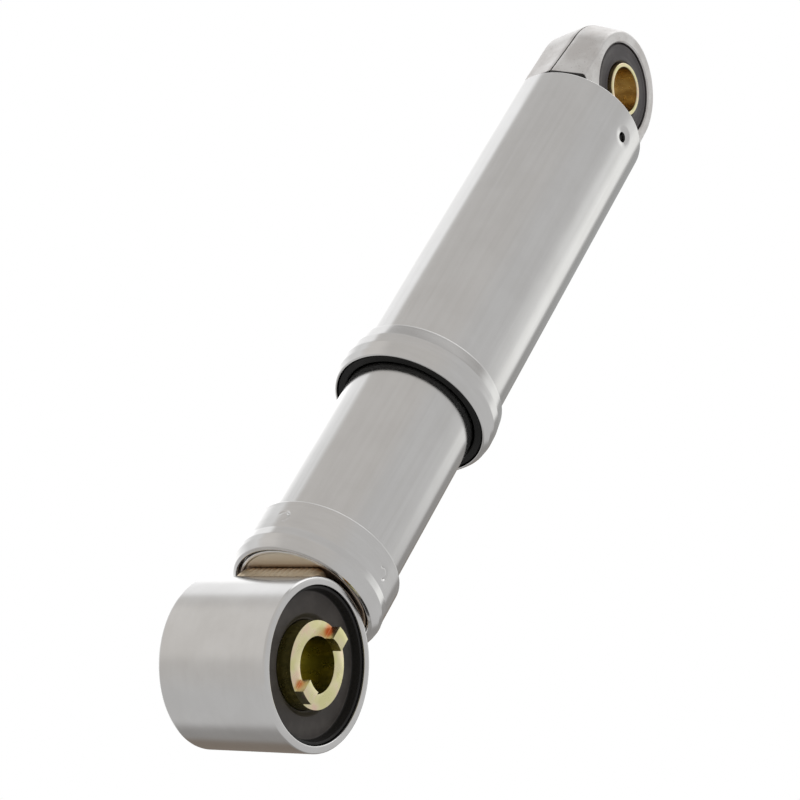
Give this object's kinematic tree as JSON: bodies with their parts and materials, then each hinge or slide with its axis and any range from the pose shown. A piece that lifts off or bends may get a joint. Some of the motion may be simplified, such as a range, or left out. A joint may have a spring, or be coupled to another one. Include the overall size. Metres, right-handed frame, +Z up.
{
  "type": "rear shock absorber",
  "caption": "Rear shock absorber: telescoping plated covers over a coil spring and hydraulic damper, with rubber-bushed eyes and a dogged steel sleeve at the lower end.",
  "frame": {"origin": "centre of the lower eye, on the lower bolt's axis", "axes": "+X along the lower bolt, towards the sleeve end with the two dogs; +Z up the damper axis to the upper eye"},
  "size_m": [0.0604, 0.0604, 0.3562],
  "materials": {
    "bright_plate": "satin bright plating on steel tube",
    "cast_alloy": "satin casting",
    "yellow_zinc": "yellow passivated zinc on steel",
    "black_rubber": "moulded, matte",
    "black_plastic": "moulded",
    "weld_steel": "heat-tinted from welding",
    "plain_steel": "turned steel",
    "hard_chrome": "ground and chromed",
    "spring_steel": "dark coating",
    "sintered_iron": "sintered",
    "bronze": "plain bearing bronze",
    "foam_yellow": "elastomer foam"
  },
  "bodies": {
    "ground_sleeve": {"lower_sleeve": "yellow_zinc"},
    "lower_half": {"lower_eye": "bright_plate", "lower_bush_rubber": "black_rubber", "base_plate": "weld_steel", "eye_weld_front": "weld_steel", "eye_weld_rear": "weld_steel", "lower_collar": "bright_plate", "lower_cover": "bright_plate", "lower_spring_seat": "plain_steel", "damper_base_cap": "plain_steel", "damper_tube": "plain_steel", "inner_cylinder": "plain_steel", "foot_valve_body": "sintered_iron", "foot_valve_disc": "plain_steel", "foot_valve_bolt": "plain_steel", "rod_guide": "sintered_iron", "rod_guide_bush": "bronze", "guide_o_ring": "black_rubber", "rod_oil_seal": "black_rubber", "gland_nut": "plain_steel", "coil_spring": "spring_steel"},
    "spring_seat": {"upper_spring_seat": "plain_steel", "seat_thrust_washer": "bronze"},
    "upper_half": {"upper_eye": "cast_alloy", "upper_bush_rubber": "black_rubber", "upper_cover": "bright_plate", "cover_pin_front": "plain_steel", "cover_pin_rear": "plain_steel", "upper_collar": "bright_plate", "cover_guide_ring": "black_plastic", "piston_rod": "hard_chrome", "rod_lock_nut": "plain_steel", "bump_stop_cup": "plain_steel", "bump_stop": "foam_yellow", "rebound_stop": "black_rubber", "rebound_stop_washer": "plain_steel", "piston_intake_shim": "plain_steel", "damper_piston": "sintered_iron", "piston_ring": "bronze", "rebound_shim_stack": "plain_steel", "piston_nut": "plain_steel"},
    "top_sleeve": {"upper_sleeve": "yellow_zinc"}
  },
  "joints": [
    {"name": "lower_bush_twist", "type": "hinge", "parent": "ground_sleeve", "child": "lower_half", "pos_m": [0, 0, 0], "axis": [1, 0, 0], "range_deg": [-12, 12], "stiffness_Nm_per_rad": 90},
    {"name": "shock_stroke", "type": "slide", "parent": "lower_half", "child": "spring_seat", "axis": [0, 0, -1], "range_m": [0, 0.065], "stiffness_N_per_m": 18900, "springref_m": -0.01, "deforming": ["coil_spring"]},
    {"name": "rod_swivel", "type": "hinge", "parent": "spring_seat", "child": "upper_half", "pos_m": [0, 0, 0.2588], "axis": [0, 0, 1], "continuous": true},
    {"name": "upper_bush_twist", "type": "hinge", "parent": "upper_half", "child": "top_sleeve", "pos_m": [0, 0, 0.3], "axis": [1, 0, 0], "range_deg": [-12, 12], "stiffness_Nm_per_rad": 45}
  ]
}
